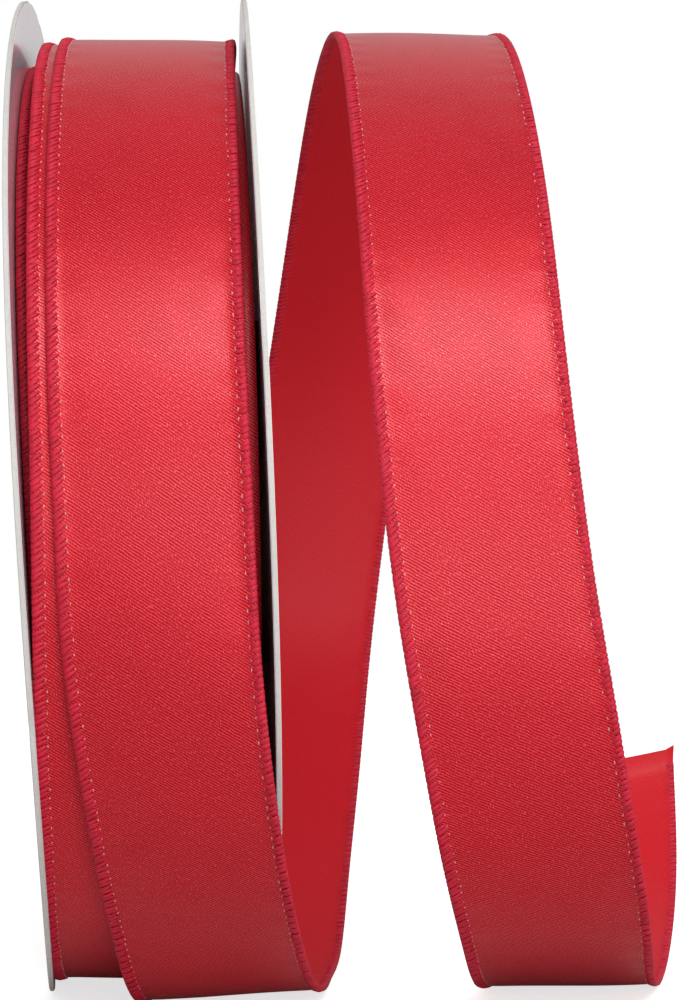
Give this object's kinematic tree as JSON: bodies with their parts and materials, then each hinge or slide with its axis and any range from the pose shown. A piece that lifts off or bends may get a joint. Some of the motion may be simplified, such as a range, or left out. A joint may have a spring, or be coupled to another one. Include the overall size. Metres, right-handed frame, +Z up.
{
  "type": "ribbon spool",
  "caption": "Wired satin ribbon on a wide card-flanged spool, its outer turns sprung loose and its end standing beside it in one tall loop.",
  "frame": {"origin": "on the ground, in the middle of the whole part's footprint", "axes": "+Z up; +X from the spool towards the loop and the cut end, nearly along the spool's axis; +Y away from the side where the ribbon leaves the spool"},
  "size_m": [0.1588, 0.248, 0.217],
  "materials": {
    "chipboard": "raw grey cut edge",
    "facing_paper": "matte white",
    "lining_paper": "glossy coated white",
    "grey_ply": "matte",
    "kraft_ply": "matte, spiral wound",
    "hot_glue": "smooth bead",
    "tape": "clear gloss",
    "satin": "red satin, strong sheen, fine diagonal weave",
    "edge_thread": "overlocked red thread",
    "edge_wire": "bare drawn wire"
  },
  "bodies": {
    "ribbon": {"inner_loose_turn": "satin", "outer_loose_turn": "satin", "ribbon_loop": "satin", "ribbon_tail": "satin", "left_edge_thread": "edge_thread", "right_edge_thread": "edge_thread", "left_edge_wire": "edge_wire", "right_edge_wire": "edge_wire"},
    "spool": {"left_flange_board": "chipboard", "right_flange_board": "chipboard", "left_flange_facing": "facing_paper", "right_flange_facing": "facing_paper", "left_flange_lining": "lining_paper", "right_flange_lining": "lining_paper", "core_tube_inner": "grey_ply", "core_tube_outer": "kraft_ply", "left_core_glue": "hot_glue", "right_core_glue": "hot_glue", "start_tape": "tape", "wound_ribbon": "satin"}
  },
  "joints": [
    {"name": "spool_turn", "type": "hinge", "parent": "ribbon", "child": "spool", "pos_m": [-0.05318, -0.01599, 0.10851], "axis": [0.9998, 0, 0.0209], "continuous": true}
  ]
}
